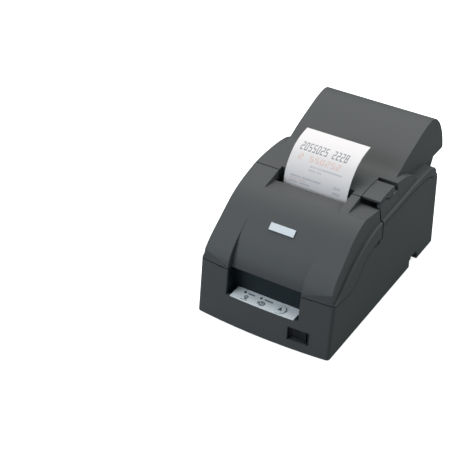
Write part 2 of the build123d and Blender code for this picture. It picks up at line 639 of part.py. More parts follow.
def make_lock_shaft():
    shaft = rod(-HOOK_X - HOOK_WIDTH - 4, LOCK_SHAFT_END, LEVER_PIVOT, LOCK_SHAFT_RADIUS)
    station, height = LEVER_PIVOT
    hook = plate([(station - 3.5, height - 1), (station - 2, height + 2.4), (station + 2, height + 2.4),
                  (station + 3.5, height - 1), (station + 2, 103), (station + 1.5, 99.5),
                  (HOOK_TIP[0], HOOK_TIP[1] + 1.5), HOOK_TIP, (station + 1, HOOK_TIP[1] - 5),
                  (station - 3, HOOK_TIP[1] - 4)], HOOK_X, HOOK_X + HOOK_WIDTH)
    return shaft + both_sides(hook)


def make_chassis():
    low, high = FRAME_STATIONS
    rear = CATCH_STATION + 6
    side_plate = plate([(low, FRAME_FLOOR), (rear, FRAME_FLOOR), (rear, 106), (CATCH_STATION - 4, 106),
                        (CATCH_STATION - 8, 90), (high - 4, 90), (high - 10, 110), (88, 110), (84, 88),
                        (low + 14, 84), (low, 60)], FRAME_INNER, FRAME_X)
    side_plate -= rod(0, REACH, FEED_CENTRE, FEED_SHAFT + RUNNING_GAP)
    side_plate -= rod(0, REACH, GUIDE, GUIDE_RADIUS)
    side_plate -= block((0, low + 8, FRAME_FLOOR + 12), (REACH, low + 28, FRAME_FLOOR + 32))
    floor_plate = block((-FRAME_X, low, FRAME_FLOOR), (FRAME_X, high, FRAME_FLOOR + FRAME_PLATE))
    tie = block((-FRAME_X + 1, high - 6, 28), (FRAME_X - 1, high - 4.5, 42))
    frame = both_sides(side_plate) + floor_plate + tie
    frame += rod(-FRAME_X - GEAR_WIDTH - 1.5, -FRAME_X + 0.5, IDLER_CENTRE, IDLER_PIN)
    frame -= rod(-FRAME_X - 5, 0, PINION_CENTRE, 6.0)
    for x, station in frame_posts():
        frame -= post(x, station, FRAME_FLOOR - 1, FRAME_FLOOR + 3, SCREW_RADIUS)
    return frame


# ---------------------------------------------------------------- paper handling
def make_bucket():
    ramp_start = polar(BUCKET_CENTRE, BUCKET_EXIT_ANGLE, BUCKET_RADIUS)
    ramp_start_low = polar(BUCKET_CENTRE, BUCKET_EXIT_ANGLE, BUCKET_RADIUS + BUCKET_WALL)
    ramp_end = RAMP_END
    half = BUCKET_HALF_WIDTH
    ring = tube(-half, half, BUCKET_CENTRE, BUCKET_RADIUS + BUCKET_WALL, BUCKET_RADIUS)
    ring &= plate([ramp_start, ramp_start_low, (ramp_start_low[0], 20), (240, 20), (240, BUCKET_CENTRE[1]),
                   BUCKET_CENTRE], -half, half)
    ramp = plate([ramp_start, ramp_end, (ramp_end[0], ramp_end[1] - BUCKET_WALL), ramp_start_low], -half, half)
    bend_centre = (ramp_end[0], ramp_end[1] + BEND_RADIUS)
    bend = tube(-half, half, bend_centre, BEND_RADIUS + BUCKET_WALL, BEND_RADIUS)
    bend &= block((-half, bend_centre[0] - 30, 0), (half, bend_centre[0], bend_centre[1]))
    cheek = rod(half, half + BUCKET_WALL, BUCKET_CENTRE, BUCKET_RADIUS + BUCKET_WALL)
    cheek &= block((0, 0, 0), (REACH, REACH, BUCKET_CENTRE[1] + 6))
    cheek += plate([(ramp_end[0], ramp_end[1] - BUCKET_WALL), ramp_start_low, (182, 70), (ramp_end[0] + 10, 64)],
                   half, half + BUCKET_WALL)
    cheek += plate([(bend_centre[0] - BEND_RADIUS, bend_centre[1]), (bend_centre[0] - 8, 47.5),
                    (ramp_end[0], ramp_end[1] - BUCKET_WALL), (ramp_end[0] + 10, 64)], half, half + BUCKET_WALL)
    rib = block((18, 194, BAY_HEIGHT + WALL), (22, 218, 42)) - rod(0, 60, BUCKET_CENTRE, BUCKET_RADIUS)
    return ring + ramp + bend + both_sides(cheek) + both_sides(rib)


def make_web():
    """Paper between the roll and the cut line, with the receipt left hanging by a tab."""
    half = PAPER_WIDTH / 2
    lift = PAPER_GAP
    first = polar(BUCKET_CENTRE, BUCKET_EXIT_ANGLE, BUCKET_RADIUS - lift)
    end = (RAMP_END[0], RAMP_END[1] + lift)
    radius = PAPER_BEND
    ramp = plate([first, end, (end[0], end[1] + PAPER_THICKNESS), (first[0], first[1] + PAPER_THICKNESS)],
                 -half, half)
    centre = (end[0], end[1] + radius)
    bend = tube(-half, half, centre, radius, radius - PAPER_THICKNESS)
    bend &= block((-half, centre[0] - 30, 0), (half, centre[0], centre[1]))
    upright = block((-half, centre[0] - radius, centre[1]),
                    (half, centre[0] - radius + PAPER_THICKNESS, CUT_HEIGHT))
    return ramp + bend + upright


def make_receipt():
    half = PAPER_WIDTH / 2
    lower = inset(RECEIPT_CURVE, PAPER_THICKNESS)
    front = Plane.YZ * Spline(*side(RECEIPT_CURVE))
    rear = Plane.YZ * Spline(*side(lower))
    ends = [Plane.YZ * Line(*side([RECEIPT_CURVE[index], lower[index]])) for index in (0, -1)]
    strip = across(make_face([*front.edges(), *rear.edges(), *ends[0].edges(), *ends[1].edges()]), -half, half)
    tab = block((TAB_X - TAB_WIDTH / 2, PATH_STATION, CUT_HEIGHT),
                (TAB_X + TAB_WIDTH / 2, PATH_STATION + PAPER_THICKNESS, CUT_HEIGHT + CUT_SLIT))
    return strip + tab


def make_spool():
    half = SPOOL_HALF_WIDTH
    spool = tube(-half, half, SPOOL_CENTRE, SPOOL_CORE_RADIUS, SPOOL_AXLE_RADIUS)
    flange = tube(half, half + 2, SPOOL_CENTRE, SPOOL_RADIUS, SPOOL_AXLE_RADIUS)
    for angle in range(0, 360, 60):
        flange -= rod(half - 1, half + 3, polar(SPOOL_CENTRE, angle, 14.2), 3.0)
    slot = block((-30, SPOOL_CENTRE[0] - 0.8, SPOOL_CENTRE[1] + 5),
                 (30, SPOOL_CENTRE[0] + 0.8, SPOOL_CENTRE[1] + 12))
    return spool + both_sides(flange) - slot


def make_spool_bracket():
    roof = BAY_HEIGHT + WALL
    front, rear = SPOOL_FOOT
    station, height = SPOOL_CENTRE
    outline = [(front, roof), (rear, roof), (rear, 92), (station + 9, height - 11), (station + 9, height + 7),
               (station - 5, height + 7), (station - 12, height - 7), (front + 4, 84), (front, 60)]
    bracket = plate(outline, SPOOL_BRACKET_X, SPOOL_BRACKET_X + 2)
    bracket -= rod(0, REACH, SPOOL_CENTRE, SPOOL_AXLE_RADIUS + RUNNING_GAP)
    slot = block((0, SPOOL_CENTRE[0] - SPOOL_AXLE_RADIUS - RUNNING_GAP, SPOOL_CENTRE[1]),
                 (REACH, SPOOL_CENTRE[0] + SPOOL_AXLE_RADIUS + RUNNING_GAP, REACH))
    foot = block((SPOOL_BRACKET_X, front, roof), (SPOOL_BRACKET_X + 12, rear, roof + 2))
    return bracket - slot + foot


def make_tray():
    """Fixed floor of the take-up space, hung behind the rear wall of the case."""
    wall = BODY_DEPTH
    outer = [(wall, 74), (wall + 10, 79), (wall + 17.5, 87), (wall + 22, 95), (wall + 24, 102)]
    thin = 2.0
    inner = [(wall, 74 + thin * 1.3), (wall + 9, 79 + thin * 1.2), (wall + 15.6, 88), (wall + 20, 95.6),
             (wall + 21.9, 102)]
    body = plate(outer + inner[::-1], -TRAY_HALF_WIDTH, TRAY_HALF_WIDTH)
    end = plate(outer + [(wall, 98)], TRAY_HALF_WIDTH - thin, TRAY_HALF_WIDTH)
    lip = block((-TRAY_HALF_WIDTH, wall, 74), (TRAY_HALF_WIDTH, wall + thin, 90))
    return body + both_sides(end) + lip


# ---------------------------------------------------------------- print mechanism
def make_carriage():
    x = CARRIAGE_HOME
    body = block((x - 14, GUIDE[0] - 7, 64), (x + 14, GUIDE[0] + 26, 76))
    body -= rod(x - 20, x + 20, GUIDE, GUIDE_RADIUS + RUNNING_GAP)
    clamp = block((x - 7, BELT_STATION + PULLEY_RADIUS + BELT_THICKNESS + 0.3, 72), (x + 7, GUIDE[0] - 6, 76))
    rear_foot = block((x - 10, GUIDE[0] + 20, 60), (x + 10, GUIDE[0] + 26, 66))
    return body + clamp + rear_foot


def make_head():
    x = CARRIAGE_HOME
    head = block((x - 13, 70, 76), (x + 13, 88, 87))
    for step in range(6):
        fin = block((x - 14 + step * 5.2, 68, 77.5), (x - 12.4 + step * 5.2, 86, 86.5))
        head += fin
    nose = loft([Pos(x, y_at(88), 80.5) * Rot(90, 0, 0) * Rectangle(20, 12),
                 Pos(x, y_at(HEAD_TIP), 80) * Rot(90, 0, 0) * Rectangle(4, 7)])
    return head + nose


def make_ribbon():
    edge = CASSETTE_HALF_WIDTH - 3.8
    band = block((-edge, RIBBON_STATION, 75), (edge, RIBBON_STATION + 0.3, 87))
    return band + both_sides(block((edge - 0.3, 99.5, 75), (edge, RIBBON_STATION + 0.3, 87)))


def make_cassette():
    outline = [(46, 88), (46, 93), (50, 97), (96, 101.5), (98, 100), (98, 88)]
    half = CASSETTE_HALF_WIDTH
    body = plate(outline, -half, half)
    arm = block((half - 8, 96, 74), (half, RIBBON_STATION - 0.2, 90))
    arm -= block((half - 5, 99, 70), (half - 3, RIBBON_STATION + 3, 91))
    knob_well = post(KNOB[0], KNOB[1], 95, 110, KNOB_RADIUS + MOVING_GAP)
    body += both_sides(arm)
    return body - knob_well


def make_knob():
    knob = post(KNOB[0], KNOB[1], 95.3, 102, KNOB_RADIUS)
    for step in range(12):
        turn = math.radians(step * 30)
        knob -= post(KNOB[0] + (KNOB_RADIUS + 0.6) * math.cos(turn),
                     KNOB[1] + (KNOB_RADIUS + 0.6) * math.sin(turn),
                     97, 110, 1.3)
    grip = block((KNOB[0] - 6, KNOB[1] - 1, 102), (KNOB[0] + 6, KNOB[1] + 1, 104))
    return knob + grip


def make_belt():
    ring_outer = SlotOverall(2 * (PULLEY_X + PULLEY_RADIUS + 1.0), 2 * (PULLEY_RADIUS + 1.0))
    ring_inner = SlotOverall(2 * (PULLEY_X + PULLEY_RADIUS), 2 * PULLEY_RADIUS)
    return Pos(0, y_at(BELT_STATION), BELT_HEIGHT - 1.9) * extrude(ring_outer - ring_inner, amount=3.8)


def make_pulley(x):
    pulley = post(x, BELT_STATION, BELT_HEIGHT - 2.4, BELT_HEIGHT + 2.4, PULLEY_RADIUS - 0.3)
    rims = [post(x, BELT_STATION, BELT_HEIGHT + low, BELT_HEIGHT + low + 0.8, PULLEY_RADIUS + 1.5)
            for low in (-3.2, 2.4)]
    bore = post(x, BELT_STATION, 60, 90, 1.5)
    return pulley + rims[0] + rims[1] - bore


def make_motor_z(x):
    can = post(x, BELT_STATION, 40, BELT_HEIGHT - 8, 10.5)
    flange = block((x - 11.5, BELT_STATION - 11.5, BELT_HEIGHT - 8),
                   (x + 11.5, BELT_STATION + 11.5, BELT_HEIGHT - 6.8))
    return can + flange + post(x, BELT_STATION, BELT_HEIGHT - 7, BELT_HEIGHT + 5, 1.5 - 0.02)


def make_idler_post():
    foot = block((-FRAME_INNER, BELT_STATION - 7, BELT_HEIGHT - 8),
                 (7 - PULLEY_X, BELT_STATION + 7, BELT_HEIGHT - 5))
    wall_tab = block((-FRAME_INNER, BELT_STATION - 7, BELT_HEIGHT - 16),
                     (3 - FRAME_INNER, BELT_STATION + 7, BELT_HEIGHT - 5))
    return foot + wall_tab + post(-PULLEY_X, BELT_STATION, BELT_HEIGHT - 6, BELT_HEIGHT + 5, 1.5 - 0.02)


def make_cutter_case():
    low, high = 89, PATH_STATION - 0.5
    half = CUTTER_HALF_WIDTH
    case = block((-half, low, 104), (half, high, 110)) + block((-half, low, 112), (half, high - 3, 117))
    case += block((-half, low, 104), (half, low + 3, 117))
    return case + both_sides(block((half - 1, low, 104), (FRAME_INNER, high, 106.5)))


def make_moving_blade():
    half = CUTTER_HALF_WIDTH - 3.0
    blade = block((-half, 94, CUT_HEIGHT + 0.1), (half, PATH_STATION - 0.7, CUT_HEIGHT + 1.1))
    notch = block((TAB_X - 1.6, PATH_STATION - 7, 100), (TAB_X + 1.6, PATH_STATION + 1, 120))
    return blade - notch


def make_panel_label():
    label = block((LABEL_X[0], -10, PANEL_FLOOR),
                  (LABEL_X[1], PANEL_REAR - 0.2, PANEL_FLOOR + LABEL_THICKNESS))
    label &= wide_volume(0.2)
    label -= post(BUTTON_X, BUTTON_STATION, 0, REACH, BUTTON_RADIUS + MOVING_GAP)
    for x in LED_X:
        label -= post(x, LED_STATION, 0, REACH, LED_RADIUS)
    return label


def make_button():
    """Round key that sits almost flush in the label, held from below by two wings."""
    top = PANEL_FLOOR + LABEL_THICKNESS + BUTTON_TRAVEL + 0.1
    shelf = PANEL_FLOOR - WALL - 0.2
    cap = post(BUTTON_X, BUTTON_STATION, shelf - 0.2, top, BUTTON_RADIUS)
    cap = chamfer(cap.edges().group_by(Axis.Z)[-1], 0.3)
    cap += block((BUTTON_X - BUTTON_FLANGE, BUTTON_STATION - 3, shelf - 1.2),
                 (BUTTON_X + BUTTON_FLANGE, BUTTON_STATION + 3, shelf))
    return cap + post(BUTTON_X, BUTTON_STATION, shelf - 5, shelf - 1, BUTTON_STEM)


def make_panel_board():
    """Small board under the shelf, with the push switch that the key presses."""
    top = PANEL_FLOOR - PANEL_BOARD_DROP
    board = block((LABEL_X[0] + 4, 8.5, top - 1.2), (BUTTON_X + 8.5, 22, top))
    switch_top = PANEL_FLOOR - WALL - 5.2 - BUTTON_TRAVEL - 0.1
    switch = block((BUTTON_X - 3, BUTTON_STATION - 3, top - 0.2),
                   (BUTTON_X + 3, BUTTON_STATION + 3, switch_top))
    return board + switch


def make_leds():
    foot = PANEL_FLOOR - PANEL_BOARD_DROP
    lens = [post(x, LED_STATION, foot, PANEL_FLOOR + 1.3, LED_RADIUS) for x in LED_X]
    return lens[0] + lens[1]


def make_switch_housing():
    x, station = ROCKER
    low, high = ROCKER_Z
    body = block((x - 11.4, station - 3.0, low - 1.6), (x + 11.4, SWITCH_DEPTH, high + 1.6))
    body += block((SWITCH_BODY_X[0], SWITCH_DEPTH - 1, SWITCH_BODY_Z[0]),
                  (SWITCH_BODY_X[1], 24, SWITCH_BODY_Z[1]))
    body -= block((x - 10.0, station - 5, low - 0.3), (x + 10.0, station + 4.5, high + 0.3))
    body -= post(x, station, low - 0.9, high + 0.9, 1.0 + RUNNING_GAP)
    for blade_x in (x - 6, x, x + 6):
        body += block((blade_x - 0.4, 23, 15), (blade_x + 0.4, 31, 19.5))
    return body


def make_rocker():
    x, station = ROCKER
    low, high = ROCKER_Z
    outline = Polyline((-9.3, -3.4), (0, -2.2), (9.3, -3.4), (9.3, 0.5), (6.5, 2.8), (-6.5, 2.8), (-9.3, 0.5),
                       close=True)
    body = extrude(make_face(outline), amount=high - low)
    pins = Pos(0, 0, (high - low) / 2) * Cylinder(1.0, high - low + 1.6)
    return Pos(x, y_at(station), low) * Rot(0, 0, -ROCKER_TILT) * (body + pins)


def make_emblem():
    run, rise = EMBLEM_END[0] - EMBLEM_START[0], EMBLEM_END[1] - EMBLEM_START[1]
    length = math.hypot(run, rise)
    away = (-rise / length, run / length)
    outline = [EMBLEM_START, EMBLEM_END, (EMBLEM_END[0] + away[0] * 0.8, EMBLEM_END[1] + away[1] * 0.8),
               (EMBLEM_START[0] + away[0] * 0.8, EMBLEM_START[1] + away[1] * 0.8)]
    return plate(outline, EMBLEM_X[0], EMBLEM_X[1])


def make_rollers():
    sleeves = [tube(centre - 11, centre + 11, FEED_CENTRE, FEED_ROLLER_RADIUS, FEED_SHAFT)
               for centre in (-25, 0, 25)]
    return sleeves[0] + sleeves[1] + sleeves[2]


def make_platen():
    half = PAPER_WIDTH / 2 + 6
    bar = block((-half, PATH_STATION + PAPER_THICKNESS + PAPER_GAP, 66), (half, 119, 84))
    return bar + both_sides(block((half, 114, 70), (FRAME_INNER, 117, 80)))


def make_board():
    board = block((-BOARD_HALF_WIDTH, BOARD_STATIONS[0], BOARD_HEIGHT),
                  (BOARD_HALF_WIDTH, BOARD_STATIONS[1], BOARD_HEIGHT + BOARD_THICKNESS))
    for x, station in board_posts():
        board -= post(x, station, 0, REACH, SCREW_RADIUS)
    return board


def make_board_parts():
    top = BOARD_HEIGHT + BOARD_THICKNESS
    parts = block((-12, 140, top), (12, 160, top + 2.4)) + block((24, 134, top), (36, 150, top + 3))
    for x in (-50, -38, 50):
        parts += post(x, 142, top, top + 14, 5)
    return parts + block((-36, 132, top), (-18, 138, top + 9))


def make_feed_motor():
    can = rod(-FRAME_INNER, 17 - FRAME_INNER, PINION_CENTRE, 12.5)
    boss = rod(-FRAME_X - 0.2, -FRAME_INNER, PINION_CENTRE, 5.5)
    shaft = rod(-FRAME_X - GEAR_WIDTH - 2.5, -FRAME_INNER, PINION_CENTRE, PINION_BORE - RUNNING_GAP)
    return can + boss + shaft


def make_connector():
    x, size = CONNECTOR_OPENINGS[2]
    low, high = CONNECTOR_HEIGHT - size[1] / 2 + 0.2, CONNECTOR_HEIGHT + size[1] / 2 - 0.2
    body = block((x - size[0] / 2 + 0.2, 170, low), (x + size[0] / 2 - 0.2, BAY_FRONT + 2, high))
    body -= block((x - 19, BAY_FRONT - 4, low + 1.8), (x + 19, BAY_FRONT + 3, high - 1.8))
    for end in (-1, 1):
        body += stub(x + end * 22.5, BAY_FRONT, BAY_FRONT + 6, CONNECTOR_HEIGHT, 2.4)
    return body


def make_socket(index, contacts):
    x, size = CONNECTOR_OPENINGS[index]
    half_x, half_z = size[0] / 2 - 0.2, size[1] / 2 - 0.2
    body = block((x - half_x, BAY_FRONT - 18, CONNECTOR_HEIGHT - half_z),
                 (x + half_x, BAY_FRONT + 0.5, CONNECTOR_HEIGHT + half_z))
    if contacts == 3:
        body -= stub(x, BAY_FRONT - 9, BAY_FRONT + 2, CONNECTOR_HEIGHT, 6.0)
        body += stub(x, BAY_FRONT - 9.5, BAY_FRONT - 1.5, CONNECTOR_HEIGHT, 2.0)
    else:
        body -= block((x - 5.5, BAY_FRONT - 9, CONNECTOR_HEIGHT - 4),
                      (x + 5.5, BAY_FRONT + 2, CONNECTOR_HEIGHT + 4))
    return body


def make_feet():
    x = BODY_WIDTH / 2 - 18
    feet = [post(sign * x, station, -FOOT_HEIGHT, 0, 8.5) for sign in (-1, 1) for station in (24, 172)]
    return feet[0] + feet[1] + feet[2] + feet[3]


def make_screws():
    screws = []
    for x, station in frame_posts():
        screw = post(x, station, 0.4, 2.3, SCREW_HEAD_RADIUS)
        screw += post(x, station, 2.2, FRAME_FLOOR + 4, SCREW_RADIUS)
        screw -= block((x - 2, station - 0.4, 0), (x + 2, station + 0.4, 1.2))
        screw -= block((x - 0.4, station - 2, 0), (x + 0.4, station + 2, 1.2))
        screws.append(screw)
    return screws[0] + screws[1] + screws[2] + screws[3]


# ---------------------------------------------------------------- every piece
os.makedirs("parts", exist_ok=True)
shell = make_shell()
place("lower_case", make_lower_case(shell))
place("front_cover", make_front_cover(shell))
place("roll_cover", make_roll_cover(shell))
place("front_hinge_pins", cover_pin(-1, 0) + cover_pin(1, 0))
place("roll_hinge_pins", both_sides(rod(ROLL_EAR_X[0] + 0.5, BODY_WIDTH / 2 - 1, ROLL_PIVOT, ROLL_PIN_RADIUS)))
place("emblem_plate", make_emblem())
place("cover_lever", make_lever())
place("lock_shaft", make_lock_shaft())
place("chassis", make_chassis())
place("lock_catches", both_sides(rod(HOOK_X - 1, FRAME_INNER, (CATCH_STATION, HOOK_TIP[1] + 4), CATCH_RADIUS)))
place("case_screws", make_screws())
place("rubber_feet", make_feet())

place("panel_label", make_panel_label())
place("status_leds", make_leds())
place("feed_button", make_button())
place("panel_board", make_panel_board())
place("switch_housing", make_switch_housing())
place("power_rocker", make_rocker())

place("roll_bucket", make_bucket())
place("paper_roll", tube(-PAPER_WIDTH / 2, PAPER_WIDTH / 2, ROLL_CENTRE, ROLL_RADIUS, CORE_OUTER))
place("roll_core", tube(-PAPER_WIDTH / 2 - 0.5, PAPER_WIDTH / 2 + 0.5, ROLL_CENTRE, CORE_OUTER, CORE_INNER))
place("paper_web", make_web())
place("receipt", make_receipt())

place("take_up_spool", make_spool())
place("spool_axle", rod(-SPOOL_BRACKET_X - 4, SPOOL_BRACKET_X + 4, SPOOL_CENTRE, SPOOL_AXLE_RADIUS))
place("spool_brackets", both_sides(make_spool_bracket()))
place("take_up_tray", make_tray())

place("feed_shaft", rod(-FRAME_X - 7, FRAME_X, FEED_CENTRE, FEED_SHAFT))
place("feed_rollers", make_rollers())
roller_turn = IDLER_ANGLE
idler_turn = meshed_turn(IDLER_ANGLE, roller_turn, ROLLER_TEETH, IDLER_TEETH)
pinion_turn = meshed_turn(PINION_ANGLE, idler_turn, IDLER_TEETH, PINION_TEETH)
gear_low = -FRAME_X - 2 - GEAR_WIDTH
gear_high = -FRAME_X - 2
place("roller_gear", gear(gear_low, gear_high, FEED_CENTRE, ROLLER_TEETH, FEED_SHAFT, roller_turn))
place("idler_gear", gear(gear_low, gear_high, IDLER_CENTRE, IDLER_TEETH, IDLER_PIN + RUNNING_GAP, idler_turn))
place("motor_pinion", gear(gear_low, gear_high, PINION_CENTRE, PINION_TEETH, PINION_BORE, pinion_turn))
place("feed_motor", make_feed_motor())
pinch_half = PAPER_WIDTH / 2 - 1
pinch_reach = PINCH_ARM_X + PINCH_ARM_WIDTH
place("pinch_roller", tube(-pinch_half, pinch_half, (PINCH_STATION, FEED_HEIGHT), PINCH_RADIUS, PINCH_SHAFT))
place("pinch_shaft", rod(-pinch_reach, pinch_reach, (PINCH_STATION, FEED_HEIGHT), PINCH_SHAFT))
place("platen", make_platen())

place("guide_shaft", rod(-FRAME_X, FRAME_X, GUIDE, GUIDE_RADIUS))
place("print_carriage", make_carriage())
place("print_head", make_head())
place("timing_belt", make_belt())
place("motor_pulley", make_pulley(PULLEY_X))
place("idler_pulley", make_pulley(-PULLEY_X))
place("carriage_motor", make_motor_z(PULLEY_X))
place("belt_tensioner", make_idler_post())
place("ribbon_cassette", make_cassette())
place("ribbon_knob", make_knob())
place("ribbon_band", make_ribbon())

place("cutter_unit", make_cutter_case())
place("moving_blade", make_moving_blade())
blade_half = CUTTER_HALF_WIDTH - 3
place("fixed_blade", block((-blade_half, PATH_STATION + 0.6, BLADE_TOP - 1), (blade_half, 118, BLADE_TOP)))
place("cutter_motor", rod(1.5 - FRAME_INNER, -CUTTER_HALF_WIDTH - 1, (99, 106.5 + 6), 6))

place("control_board", make_board())
place("board_parts", make_board_parts())
place("interface_connector", make_connector())
place("drawer_socket", make_socket(1, 6))
place("power_socket", make_socket(0, 3))
place("ground_screw", stub(GROUND_SCREW_X, BAY_FRONT - 2, BAY_FRONT + 3, CONNECTOR_HEIGHT, 2.6))
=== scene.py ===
import json
import math

import bmesh
import bpy
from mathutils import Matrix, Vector


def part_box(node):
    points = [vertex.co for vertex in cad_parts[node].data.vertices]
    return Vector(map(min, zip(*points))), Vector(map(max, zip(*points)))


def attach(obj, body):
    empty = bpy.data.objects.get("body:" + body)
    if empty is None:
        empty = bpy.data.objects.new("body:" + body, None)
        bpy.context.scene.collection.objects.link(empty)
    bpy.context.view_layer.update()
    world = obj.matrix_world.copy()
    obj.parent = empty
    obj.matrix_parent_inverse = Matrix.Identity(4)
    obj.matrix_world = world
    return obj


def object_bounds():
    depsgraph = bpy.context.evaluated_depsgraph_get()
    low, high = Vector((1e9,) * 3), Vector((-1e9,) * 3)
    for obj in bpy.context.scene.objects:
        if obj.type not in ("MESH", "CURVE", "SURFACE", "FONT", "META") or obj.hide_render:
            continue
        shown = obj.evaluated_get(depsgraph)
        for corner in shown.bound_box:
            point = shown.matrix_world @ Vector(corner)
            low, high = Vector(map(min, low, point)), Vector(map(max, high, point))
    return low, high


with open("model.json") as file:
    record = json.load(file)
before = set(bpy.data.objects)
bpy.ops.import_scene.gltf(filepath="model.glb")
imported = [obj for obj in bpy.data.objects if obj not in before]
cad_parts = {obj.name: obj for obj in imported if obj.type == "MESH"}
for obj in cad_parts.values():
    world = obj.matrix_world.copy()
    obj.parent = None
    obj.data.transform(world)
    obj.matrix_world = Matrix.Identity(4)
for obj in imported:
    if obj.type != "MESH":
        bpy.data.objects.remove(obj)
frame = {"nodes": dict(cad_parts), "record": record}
cad_low, cad_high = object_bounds()
nodes = frame["nodes"]

# All positions are in metres and all tones are linear.
SOFT_EDGE_RADIUS = 0.0005
CREVICE_REACH = 0.0026
CREVICE_OPEN = 0.72          # share of open sky above which a place isn't a crevice
# colour of the painted shade in crevices
CREVICE_SHADE_TONE = (0.003, 0.005, 0.006)
FINE_DENT = 0.0002           # height of the plastic's grain
CREVICE_GAIN = 2.1
EDGE_GAIN = 5.0
CLOUD_SCALE = 28.0
EDGE_BREAK_SCALE = 420.0
CLOUD_ROUGHNESS = 0.6        # share of the clouds that also goes into the roughness
SPECULAR = 0.4
FIGURE_KINDS = 4.0           # 0, 8, 2 and 5, in this order
BAR_ENDS = (0.18, 0.80)      # places of a figure's bars, as shares of its cell and height
BAR_LEFT = (0.12, 0.31)
BAR_RIGHT = (0.65, 0.84)
BAR_MIDDLE = (0.44, 0.56)
BAR_TOP = 0.87
BAR_BOTTOM = 0.13


# ------------------------------------------------------------ shader groups
def new_group(name, inputs, outputs):
    group = bpy.data.node_groups.new(name, "ShaderNodeTree")
    for label, kind in inputs:
        group.interface.new_socket(name=label, in_out="INPUT", socket_type=kind)
    for label, kind in outputs:
        group.interface.new_socket(name=label, in_out="OUTPUT", socket_type=kind)
    entry = group.nodes.new("NodeGroupInput")
    leave = group.nodes.new("NodeGroupOutput")
    return group, entry, leave


def math_node(tree, operation, first, second=None, clamp=False):
    node = tree.nodes.new("ShaderNodeMath")
    node.operation = operation
    node.use_clamp = clamp
    for socket, value in zip(node.inputs, (first, second)):
        if value is None:
            continue
        if isinstance(value, (int, float)):
            socket.default_value = value
        else:
            tree.links.new(value, socket)
    return node.outputs[0]


def rgba(colour):
    return (*colour, 1.0)


def mix_colour(tree, factor, first, second):
    node = tree.nodes.new("ShaderNodeMix")
    node.data_type = "RGBA"
    sockets = (node.inputs["Factor"], node.inputs[6], node.inputs[7])
    for socket, value in zip(sockets, (factor, first, second)):
        if hasattr(value, "links"):
            tree.links.new(value, socket)
        else:
            socket.default_value = value
    return node.outputs[2]


def product(tree, *factors):
    total = factors[0]
    for factor in factors[1:]:
        total = math_node(tree, "MULTIPLY", total, factor)
    return total


def any_of(tree, masks):
    total = masks[0]
    for mask in masks[1:]:
        total = math_node(tree, "MAXIMUM", total, mask)
    return total


def between(tree, value, low, high):
    above = math_node(tree, "GREATER_THAN", value, low)
    return product(tree, above, math_node(tree, "LESS_THAN", value, high))


def object_noise(tree, scale, detail):
    coords = tree.nodes.new("ShaderNodeTexCoord")
    noise = tree.nodes.new("ShaderNodeTexNoise")
    tree.links.new(coords.outputs["Object"], noise.inputs["Vector"])
    noise.inputs["Detail"].default_value = detail
    if isinstance(scale, float):
        noise.inputs["Scale"].default_value = scale
    else:
        tree.links.new(scale, noise.inputs["Scale"])
    return noise.outputs["Fac"]


def make_surface_group():
    """Fine grain, soft edges, cloudy tone, paler edges and painted shade in crevices, shared by every
    finish.
    """
    group, entry, leave = new_group(
        "moulded_surface",
        [("Tone", "NodeSocketColor"), ("Edge Tone", "NodeSocketColor")]
        + [(name, "NodeSocketFloat") for name in
           ("Grain Size", "Grain Depth", "Cloud", "Edge Wear", "Roughness", "Crevice")],
        [("Color", "NodeSocketColor"), ("Normal", "NodeSocketVector"),
         ("Roughness", "NodeSocketFloat")])
    grain = object_noise(group, entry.outputs["Grain Size"], 3.0)
    cloud = object_noise(group, CLOUD_SCALE, 3.0)
    soft = group.nodes.new("ShaderNodeBevel")
    soft.samples = 4
    soft.inputs["Radius"].default_value = SOFT_EDGE_RADIUS
    flat = group.nodes.new("ShaderNodeNewGeometry")
    facing = group.nodes.new("ShaderNodeVectorMath")
    facing.operation = "DOT_PRODUCT"
    group.links.new(soft.outputs["Normal"], facing.inputs[0])
    group.links.new(flat.outputs["Normal"], facing.inputs[1])
    edge = math_node(group, "SUBTRACT", 1.0, facing.outputs["Value"], clamp=True)
    edge = math_node(group, "MULTIPLY", edge, EDGE_GAIN, clamp=True)
    broken = math_node(group, "MULTIPLY", edge, object_noise(group, EDGE_BREAK_SCALE, 2.0))
    edge_mask = math_node(group, "MULTIPLY", broken, entry.outputs["Edge Wear"], clamp=True)
    tone_shift = math_node(group, "SUBTRACT", cloud, 0.5)
    tone_shift = math_node(group, "MULTIPLY", tone_shift, entry.outputs["Cloud"])
    brightness = math_node(group, "ADD", tone_shift, 1.0)
    shade = group.nodes.new("ShaderNodeVectorMath")
    shade.operation = "SCALE"
    group.links.new(entry.outputs["Tone"], shade.inputs[0])
    group.links.new(brightness, shade.inputs["Scale"])
    worn_and_shaded = mix_colour(group, edge_mask, shade.outputs["Vector"], entry.outputs["Edge Tone"])
    # Painted shade: the colour turns dark where the ambient occlusion finds little open sky, in seams,
    # gaps and corners.
    crevice = group.nodes.new("ShaderNodeAmbientOcclusion")
    crevice.samples = 6
    crevice.inputs["Distance"].default_value = CREVICE_REACH
    closed = math_node(group, "SUBTRACT", CREVICE_OPEN, crevice.outputs["AO"], clamp=True)
    closed = math_node(group, "MULTIPLY", closed, CREVICE_GAIN, clamp=True)
    crevice_shade = math_node(group, "MULTIPLY", closed, entry.outputs["Crevice"], clamp=True)
    worn_and_shaded = mix_colour(group, crevice_shade, worn_and_shaded, rgba(CREVICE_SHADE_TONE))
    bump = group.nodes.new("ShaderNodeBump")
    bump.inputs["Distance"].default_value = FINE_DENT
    group.links.new(entry.outputs["Grain Depth"], bump.inputs["Strength"])
    group.links.new(grain, bump.inputs["Height"])
    group.links.new(soft.outputs["Normal"], bump.inputs["Normal"])
    rough = math_node(group, "MULTIPLY", tone_shift, CLOUD_ROUGHNESS)
    rough = math_node(group, "ADD", rough, entry.outputs["Roughness"], clamp=True)
    group.links.new(worn_and_shaded, leave.inputs["Color"])
    group.links.new(bump.outputs["Normal"], leave.inputs["Normal"])
    group.links.new(rough, leave.inputs["Roughness"])
    return group


SURFACE = make_surface_group()


